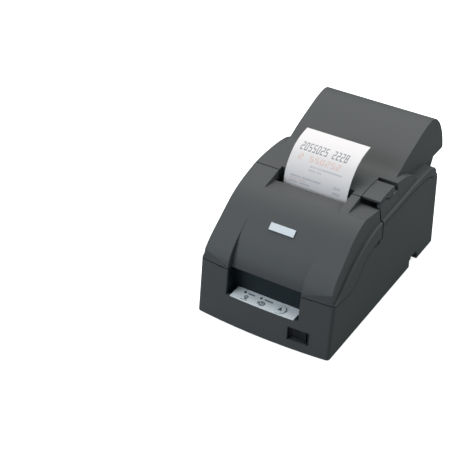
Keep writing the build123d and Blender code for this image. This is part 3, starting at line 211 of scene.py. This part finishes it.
def make_material(name, tone, roughness=0.55, metallic=0.0, grain=900.0, depth=0.25, cloud=0.12,
                  wear=0.35, coat=0.0, crevice=0.8, marks=None):
    """Principled material fed by the shared surface group; marks adds printing or painted shade on
    top.
    """
    material = bpy.data.materials.new(name)
    material.use_nodes = True
    tree = material.node_tree
    shader = tree.nodes["Principled BSDF"]
    surface = tree.nodes.new("ShaderNodeGroup")
    surface.node_tree = SURFACE
    edge_tone = [min(1.0, value * 1.6 + 0.02) for value in tone]
    for label, value in (("Tone", rgba(tone)), ("Edge Tone", rgba(edge_tone)), ("Grain Size", grain),
                         ("Grain Depth", depth), ("Cloud", cloud), ("Edge Wear", wear),
                         ("Roughness", roughness), ("Crevice", crevice)):
        surface.inputs[label].default_value = value
    colour = surface.outputs["Color"]
    if marks:
        colour = marks(tree, colour)
    tree.links.new(colour, shader.inputs["Base Color"])
    tree.links.new(surface.outputs["Normal"], shader.inputs["Normal"])
    tree.links.new(surface.outputs["Roughness"], shader.inputs["Roughness"])
    shader.inputs["Metallic"].default_value = metallic
    shader.inputs["Specular IOR Level"].default_value = SPECULAR
    shader.inputs["Coat Weight"].default_value = coat
    return material


# ------------------------------------------------------------ printed marks and painted shades
def separate(tree):
    coords = tree.nodes.new("ShaderNodeTexCoord")
    split = tree.nodes.new("ShaderNodeSeparateXYZ")
    tree.links.new(coords.outputs["Object"], split.inputs[0])
    return split.outputs


def rectangle(tree, axes, x_range, y_range):
    return product(tree, between(tree, axes[0], *x_range), between(tree, axes[1], *y_range))


def ring(tree, axes, centre, inner, outer):
    dx = math_node(tree, "SUBTRACT", axes[0], centre[0])
    dy = math_node(tree, "SUBTRACT", axes[1], centre[1])
    square = math_node(tree, "ADD", product(tree, dx, dx), product(tree, dy, dy))
    return between(tree, math_node(tree, "SQRT", square), inner, outer)


def make_figures_group():
    """One row of slanted figures made of bars; the figure in a cell is picked at random."""
    names = ["Across", "Up", "Left", "Bottom", "Cell", "Height", "Count", "Gap", "Slant"]
    group, entry, leave = new_group("figure_row", [(name, "NodeSocketFloat") for name in names],
                                    [("Mask", "NodeSocketFloat")])
    value = entry.outputs
    lift = math_node(group, "SUBTRACT", value["Up"], value["Bottom"])
    row = math_node(group, "DIVIDE", lift, value["Height"])
    along = math_node(group, "SUBTRACT", value["Across"], value["Left"])
    along = math_node(group, "SUBTRACT", along, product(group, lift, value["Slant"]))
    cells = math_node(group, "DIVIDE", along, value["Cell"])
    index = math_node(group, "FLOOR", cells)
    place = math_node(group, "FRACT", cells)
    chance = group.nodes.new("ShaderNodeTexWhiteNoise")
    chance.noise_dimensions = "1D"
    group.links.new(index, chance.inputs["W"])
    kind = math_node(group, "FLOOR", product(group, chance.outputs["Value"], FIGURE_KINDS))
    not_zero = math_node(group, "GREATER_THAN", kind, 0.5)
    not_two = math_node(group, "SUBTRACT", 1.0, between(group, kind, 1.5, 2.5))
    not_five = math_node(group, "LESS_THAN", kind, 2.5)
    upper = math_node(group, "GREATER_THAN", row, 0.5)
    lower = math_node(group, "SUBTRACT", 1.0, upper)
    flat = between(group, place, *BAR_ENDS)
    left_bar = between(group, place, *BAR_LEFT)
    right_bar = between(group, place, *BAR_RIGHT)
    left_on = math_node(group, "ADD", product(group, upper, not_two), product(group, lower, not_five))
    right_on = math_node(group, "ADD", product(group, upper, not_five), product(group, lower, not_two))
    bars = [
        product(group, flat, math_node(group, "GREATER_THAN", row, BAR_TOP)),
        product(group, flat, math_node(group, "LESS_THAN", row, BAR_BOTTOM)),
        product(group, flat, between(group, row, *BAR_MIDDLE), not_zero),
        product(group, left_bar, left_on),
        product(group, right_bar, right_on),
    ]
    shape = product(group, any_of(group, bars), between(group, row, 0.0, 1.0))
    away = math_node(group, "ABSOLUTE", math_node(group, "SUBTRACT", index, value["Gap"]))
    spelt = product(group, between(group, cells, 0.0, value["Count"]),
                    math_node(group, "GREATER_THAN", away, 0.5))
    group.links.new(product(group, shape, spelt), leave.inputs["Mask"])
    return group


FIGURES = make_figures_group()


def figures(tree, across_x, up, left, bottom, cell, height, count, gap=-1.0, slant=0.0):
    row = tree.nodes.new("ShaderNodeGroup")
    row.node_tree = FIGURES
    tree.links.new(across_x, row.inputs["Across"])
    tree.links.new(up, row.inputs["Up"])
    for label, value in zip(("Left", "Bottom", "Cell", "Height", "Count", "Gap", "Slant"),
                            (left, bottom, cell, height, count, gap, slant)):
        row.inputs[label].default_value = value
    return row.outputs["Mask"]


def receipt_print(tree, paper):
    """Rows of plain figures on the outer face, laid out along the curl of the sheet."""
    axes = separate(tree)
    behind = math_node(tree, "SUBTRACT", CURL_CENTRE[0], axes[1])
    above = math_node(tree, "SUBTRACT", axes[2], CURL_CENTRE[1])
    up = product(tree, math_node(tree, "ARCTAN2", above, behind), CURL_RADIUS)
    geometry = tree.nodes.new("ShaderNodeNewGeometry")
    normal = tree.nodes.new("ShaderNodeSeparateXYZ")
    tree.links.new(geometry.outputs["True Normal"], normal.inputs[0])
    outwards = math_node(tree, "SUBTRACT", normal.outputs[2], normal.outputs[1])
    outer = math_node(tree, "GREATER_THAN", outwards, 0.0)
    colour = paper
    for ink, strength, rows in RECEIPT_ROWS:
        mask = any_of(tree, [figures(tree, axes[0], up, *row) for row in rows])
        colour = mix_colour(tree, product(tree, mask, outer, strength), colour, rgba(ink))
    return colour


def seam_shade(tree, plastic):
    """Painted shade: dark edges along the upright seam on the right side, where the gap between the
    covers lies in shade.
    """
    axes = separate(tree)
    seam = product(tree, between(tree, axes[1], *SEAM_BAND),
                   math_node(tree, "GREATER_THAN", axes[0], SEAM_SIDE),
                   math_node(tree, "GREATER_THAN", axes[2], SEAM_FOOT))
    return mix_colour(tree, seam, plastic, rgba(GAP_SHADE_TONE))


def hollow_shade(tree, plastic):
    """Painted shade: a darker tone on the walls inside the panel recess and the switch recess, which
    lie in shade.
    """
    axes = separate(tree)
    behind_face = math_node(tree, "SUBTRACT", axes[1], product(tree, axes[2], FRONT_LEAN))
    masks = []
    for x_range, start, z_range in HOLLOWS:
        depth = math_node(tree, "SUBTRACT", behind_face, start)
        inwards = math_node(tree, "DIVIDE", depth, HOLLOW_FADE, clamp=True)
        inside = product(tree, between(tree, axes[0], *x_range), between(tree, axes[2], *z_range))
        masks.append(product(tree, inside, inwards))
    return mix_colour(tree, any_of(tree, masks), seam_shade(tree, plastic), rgba(HOLLOW_SHADE_TONE))


def lever_shade(tree, plastic):
    """Painted shade: a dark left edge of the opening lever, where the narrow gap beside it lies in
    shade.
    """
    edge = math_node(tree, "LESS_THAN", separate(tree)[0], lever_low[0] + LEVER_EDGE)
    return mix_colour(tree, edge, plastic, rgba(GAP_SHADE_TONE))


def panel_print(tree, film):
    """Two plain symbols in front of the lights and a short rule beside each light."""
    axes = separate(tree)
    marks = [rectangle(tree, axes, x_range, y_range) for x_range, y_range in PANEL_BARS]
    marks += [ring(tree, axes, centre, inner, outer) for centre, inner, outer in PANEL_RINGS]
    return mix_colour(tree, product(tree, any_of(tree, marks), PANEL_STRENGTH), film, rgba(PANEL_INK))


def button_print(tree, cap):
    """Small feed arrow on the button."""
    axes = separate(tree)
    from_tip = math_node(tree, "SUBTRACT", ARROW_TIP[1], axes[1])
    aside = math_node(tree, "ABSOLUTE", math_node(tree, "SUBTRACT", axes[0], ARROW_TIP[0]))
    inside = math_node(tree, "LESS_THAN", product(tree, aside, 2.0), from_tip)
    arrow = product(tree, inside, math_node(tree, "LESS_THAN", from_tip, ARROW_LENGTH))
    return mix_colour(tree, product(tree, arrow, ARROW_STRENGTH), cap, rgba(ARROW_INK))


# The receipt follows a circle about (y, z) CURL_CENTRE. Each entry is ink, strength and
# rows of (left, bottom, cell width, height, cells, blank cell, slant) along that circle.
CURL_CENTRE = (0.0150, 0.1150)
CURL_RADIUS = 0.0464
RECEIPT_ROWS = [
    ((0.09, 0.11, 0.13), 0.74, [(-0.0314, 0.0453, 0.00475, 0.0103, 12.0, 7.0, 0.05)]),
    ((0.86, 0.42, 0.30), 0.56, [(-0.0290, 0.0352, 0.00640, 0.0064, 8.0, 1.0, 0.05)]),
    ((0.20, 0.21, 0.30), 0.75, [
        (-0.0118, 0.0296, 0.00140, 0.0018, 27.0, 5.0, 0.0),
        (-0.0120, 0.0257, 0.00140, 0.0018, 11.0, 6.0, 0.0),
        (-0.0310, 0.0156, 0.00140, 0.0018, 26.0, 9.0, 0.0),
        (-0.0320, 0.0092, 0.00140, 0.0018, 18.0, 8.0, 0.0),
        (0.0205, 0.0154, 0.00160, 0.0024, 5.0, -1.0, 0.0),
        (0.0198, 0.0088, 0.00160, 0.0030, 6.0, -1.0, 0.0),
    ]),
    ((0.78, 0.36, 0.32), 0.60, [(-0.0312, 0.0124, 0.00150, 0.0018, 12.0, 5.0, 0.0)]),
]

lever_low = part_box("cover_lever")[0]
button_low, button_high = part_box("feed_button")
label_low, label_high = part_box("panel_label")
led_low, led_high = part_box("status_leds")
switch_low, switch_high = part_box("switch_housing")

SEAM_Y = -0.0280             # front edge of the roll cover
SEAM_BAND = (SEAM_Y - 0.0018, SEAM_Y + 0.0006)
SEAM_SIDE = 0.066            # the painted seam shade lies to the right of this x
SEAM_FOOT = 0.0885           # and above this height
# colour of the painted shade along the seam and along the lever's left edge
GAP_SHADE_TONE = (0.008, 0.012, 0.014)
LEVER_EDGE = 0.0006          # width of the painted shade along the lever's left edge
FRONT_LEAN = 0.147           # backward lean of the front face, per metre of height
HOLLOW_FADE = 0.003          # depth over which the painted shade in a recess turns dark
HOLLOW_SHADE_TONE = (0.006, 0.014, 0.018)
HOLLOWS = [                  # boxes of painted shade: x range, start behind the front face, z range
    ((label_low[0] - 0.007, label_high[0] + 0.007), cad_low[1] + 0.0020,
     (label_low[2] - 0.001, 0.0663)),
    ((switch_low[0] - 0.003, switch_high[0] + 0.003), cad_low[1] + 0.0030,
     (switch_low[2] - 0.002, switch_high[2] + 0.002)),
]
ARROW_TIP = ((button_low[0] + button_high[0]) / 2, (button_low[1] + button_high[1]) / 2 + 0.0035)
ARROW_LENGTH = 0.0055
ARROW_INK = (0.05, 0.07, 0.09)
ARROW_STRENGTH = 0.95
PANEL_INK = (0.07, 0.10, 0.12)
PANEL_STRENGTH = 0.8
led_y = (led_low[1] + led_high[1]) / 2
led_x = (led_low[0] + 0.0013, led_high[0] - 0.0013)
left_mark = (led_x[0] + 0.0048, led_y - 0.0066)
right_mark = (led_x[1] + 0.0048, led_y - 0.0072)
PANEL_BARS = [               # x range, y range
    ((led_x[0] + 0.0040, led_x[0] + 0.0120), (led_y - 0.0011, led_y + 0.0011)),
    ((led_x[1] + 0.0040, led_x[1] + 0.0145), (led_y - 0.0011, led_y + 0.0011)),
    ((left_mark[0] - 0.0006, left_mark[0] + 0.0024), (left_mark[1] - 0.0032, left_mark[1])),
    ((left_mark[0] - 0.0040, left_mark[0] + 0.0040), (left_mark[1] - 0.0050, left_mark[1] - 0.0040)),
    ((right_mark[0] - 0.0052, right_mark[0] - 0.0038),
     (right_mark[1] - 0.0022, right_mark[1] + 0.0022)),
    ((right_mark[0] - 0.0008, right_mark[0] + 0.0008),
     (right_mark[1] - 0.0030, right_mark[1] + 0.0030)),
]
PANEL_RINGS = [              # centre, inner and outer radius
    ((left_mark[0], left_mark[1] + 0.0008), 0.0007, 0.0025), (right_mark, 0.0019, 0.0038),
]

# ------------------------------------------------------------ finishes
PLASTIC = (0.081, 0.082, 0.083)
LOOKS = {
    "case_grey": dict(tone=PLASTIC, roughness=0.62, grain=1500.0, depth=0.18, cloud=0.08,
                      marks=hollow_shade),
    "hood_grey": dict(tone=PLASTIC, roughness=0.60, grain=1500.0, depth=0.18, cloud=0.08,
                      marks=seam_shade),
    "lever_grey": dict(tone=(0.074, 0.076, 0.078), grain=1500.0, depth=0.12, marks=lever_shade),
    "inner_black": dict(tone=(0.035, 0.037, 0.040), roughness=0.5, grain=1100.0, depth=0.15),
    "gear_white": dict(tone=(0.72, 0.70, 0.65), roughness=0.4, grain=800.0, depth=0.08),
    "zinc_steel": dict(tone=(0.50, 0.51, 0.53), roughness=0.38, metallic=1.0, grain=400.0, depth=0.06,
                       wear=0.15),
    "polished_steel": dict(tone=(0.60, 0.60, 0.61), roughness=0.2, metallic=1.0, grain=700.0,
                           depth=0.03, wear=0.1),
    "rubber_black": dict(tone=(0.025, 0.025, 0.025), roughness=0.85, depth=0.3),
    "label_white": dict(tone=(0.95, 0.98, 1.0), roughness=0.4, grain=1200.0, depth=0.05, cloud=0.04,
                        wear=0.1, crevice=0.0, marks=panel_print),
    "led_clear": dict(tone=(0.05, 0.09, 0.08), roughness=0.15, grain=500.0, depth=0.02, coat=0.4),
    "button_grey": dict(tone=(0.82, 0.87, 0.91), roughness=0.45, grain=1200.0, depth=0.05, cloud=0.04,
                        wear=0.15, marks=button_print),
    "rocker_black": dict(tone=(0.012, 0.012, 0.016), roughness=0.25, depth=0.04),
    "paper_white": dict(tone=(0.86, 0.86, 0.85), roughness=0.85, grain=1800.0, depth=0.1, cloud=0.03,
                        wear=0.0),
    "receipt_white": dict(tone=(0.915, 0.85, 0.84), roughness=0.8, grain=1800.0, depth=0.1, cloud=0.03,
                          wear=0.0, crevice=0.0, marks=receipt_print),
    "core_brown": dict(tone=(0.42, 0.31, 0.20), roughness=0.9, grain=600.0, depth=0.3),
    "board_green": dict(tone=(0.03, 0.17, 0.08), roughness=0.35, grain=500.0, depth=0.05),
    "ribbon_ink": dict(tone=(0.04, 0.025, 0.07), roughness=0.9, grain=2500.0, depth=0.5),
    "emblem_metal": dict(tone=(0.78, 0.81, 0.85), roughness=0.35, depth=0.03, cloud=0.03, wear=0.1),
    "motor_steel": dict(tone=(0.10, 0.10, 0.11), roughness=0.4, metallic=0.3, grain=800.0, depth=0.08),
}
FINISHES = {name: make_material(name, **look) for name, look in LOOKS.items()}
slot_of = {entry["node"]: entry["material_slot"] for entry in frame["record"]["subparts"]}
slot_of["receipt"] = "receipt_white"
for name, obj in nodes.items():
    obj.data.materials.clear()
    obj.data.materials.append(FINISHES[slot_of[name]])


# ------------------------------------------------------------ rims by the opening lever
def crown_side(y, z):
    """Half width of the crown where its side wall has this place."""
    if y >= SEAM_Y:
        above = z - SIDE_START_Z
    else:
        above = (z - SIDE_START_Z - (y - SEAM_Y) * SIDE_SLOPE) / math.hypot(1.0, SIDE_SLOPE)
    return SIDE_START_X - above * SIDE_TAPER


def side_prism(name, outline, x_low, body, finish):
    """Prism across the right of a cover, from x_low out to the crown's side wall."""
    mesh = bpy.data.meshes.new(name)
    piece = bpy.data.objects.new(name, mesh)
    bpy.context.scene.collection.objects.link(piece)
    shape = bmesh.new()
    inner = [shape.verts.new((x_low, y, z)) for y, z in outline]
    outer = [shape.verts.new((crown_side(y, z), y, z)) for y, z in outline]
    shape.faces.new(inner)
    shape.faces.new(outer)
    for index in range(len(outline)):
        after = (index + 1) % len(outline)
        shape.faces.new((inner[index], inner[after], outer[after], outer[index]))
    bmesh.ops.recalc_face_normals(shape, faces=shape.faces)
    shape.to_mesh(mesh)
    shape.free()
    mesh.materials.append(FINISHES[finish])
    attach(piece, body)


SIDE_START_X = 0.0769        # half width of the crown at SIDE_START_Z, behind the seam
SIDE_START_Z = 0.1106
SIDE_SLOPE = 0.4218          # change of that height per metre ahead of the seam
SIDE_TAPER = math.tan(math.radians(7.5))
WALL_TOP = lever_low[2] - 0.0010
WALL_LIP = 0.1286            # the wall's height at its front end
WELL_FLOOR = 0.1158
WELL_REAR = 0.0131
WALL_FRONT = SEAM_Y + 0.0006
WALL_INNER_X = 0.0715
SCOOP_FRONT = -0.0565
SCOOP_REAR = SEAM_Y - 0.0006
side_prism("lever_well_wall",
           [(WALL_FRONT, WELL_FLOOR), (WALL_FRONT, WALL_LIP), (-0.0142, WALL_LIP - 0.0005),
            (-0.0080, WALL_TOP), (WELL_REAR, WALL_TOP), (WELL_REAR, WELL_FLOOR)],
           WALL_INNER_X, "roll_cover", "hood_grey")
side_prism("lever_scoop_floor",
           [(SCOOP_FRONT, 0.1270), (SCOOP_REAR, 0.1240), (SCOOP_REAR, 0.1205), (SCOOP_FRONT, 0.1262)],
           lever_low[0] - 0.0004, "front_cover", "hood_grey")


# ------------------------------------------------------------ stage
def make_floor():
    """White where the camera looks at it, and a darker grey for the light that it throws back."""
    bpy.ops.mesh.primitive_plane_add(size=FLOOR_SIZE, location=(0.0, 0.0, cad_low[2] - FLOOR_DROP))
    floor = bpy.context.active_object
    floor.name = "floor"
    material = bpy.data.materials.new("floor_white")
    material.use_nodes = True
    tree = material.node_tree
    shader = tree.nodes["Principled BSDF"]
    path = tree.nodes.new("ShaderNodeLightPath")
    seen = any_of(tree, [path.outputs["Is Camera Ray"], path.outputs["Is Transmission Ray"]])
    shade = mix_colour(tree, seen, rgba(FLOOR_LIT), rgba(FLOOR_SEEN))
    tree.links.new(shade, shader.inputs["Base Color"])
    shader.inputs["Emission Color"].default_value = (1.0, 1.0, 1.0, 1.0)
    glow = product(tree, path.outputs["Is Camera Ray"], FLOOR_GLOW)
    tree.links.new(glow, shader.inputs["Emission Strength"])
    shader.inputs["Roughness"].default_value = 1.0
    shader.inputs["Specular IOR Level"].default_value = 0.0
    floor.data.materials.append(material)


def make_world():
    world = bpy.data.worlds.new("studio")
    bpy.context.scene.world = world
    world.use_nodes = True
    background = world.node_tree.nodes["Background"]
    background.inputs["Color"].default_value = rgba(WORLD_TONE)
    background.inputs["Strength"].default_value = WORLD_STRENGTH


def area_lamp(name, location, target, size, power, colour):
    lamp = bpy.data.lights.new(name, "AREA")
    lamp.shape = "SQUARE"
    lamp.size = size
    lamp.energy = power
    lamp.color = colour
    obj = bpy.data.objects.new(name, lamp)
    bpy.context.scene.collection.objects.link(obj)
    obj.location = location
    obj.rotation_euler = (Vector(target) - Vector(location)).to_track_quat("-Z", "Y").to_euler()


def make_camera():
    lens = bpy.data.cameras.new("camera")
    lens.lens = CAMERA_LENS
    lens.sensor_width = 36.0
    camera = bpy.data.objects.new("camera", lens)
    bpy.context.scene.collection.objects.link(camera)
    camera.location = CAMERA_PLACE
    camera.rotation_euler = [math.radians(angle) for angle in CAMERA_TURN]
    bpy.context.scene.camera = camera


CAMERA_PLACE = (0.5501, -1.0516, 0.9112)
CAMERA_TURN = (54.2043, 0.6700, 32.4881)     # degrees
CAMERA_LENS = 106.02                         # millimetres
LAMPS = [                    # name, place, target, size, power, colour
    ("overhead", (-0.25, 0.42, 1.25), (0.0, 0.0, 0.10), 1.1, 11.5, (1.0, 0.975, 0.955)),
    ("front_fill", (-1.25, -1.5, 1.05), (0.0, 0.0, 0.08), 1.2, 22.0, (0.84, 0.92, 1.0)),
    ("right_fill", (1.1, 0.75, 0.8), (0.0, 0.0, 0.08), 0.9, 7.6, (0.88, 0.99, 1.0)),
]
WORLD_TONE = (0.82, 0.97, 1.0)
WORLD_STRENGTH = 0.28
FLOOR_SIZE = 8.0
FLOOR_DROP = 0.0003          # keeps the floor clear of the feet
FLOOR_LIT = (0.25, 0.25, 0.25)
FLOOR_SEEN = (0.97, 0.97, 0.97)
FLOOR_GLOW = 0.8
make_floor()
make_world()
for lamp_values in LAMPS:
    area_lamp(*lamp_values)
make_camera()
bpy.context.scene.view_settings.view_transform = "Standard"
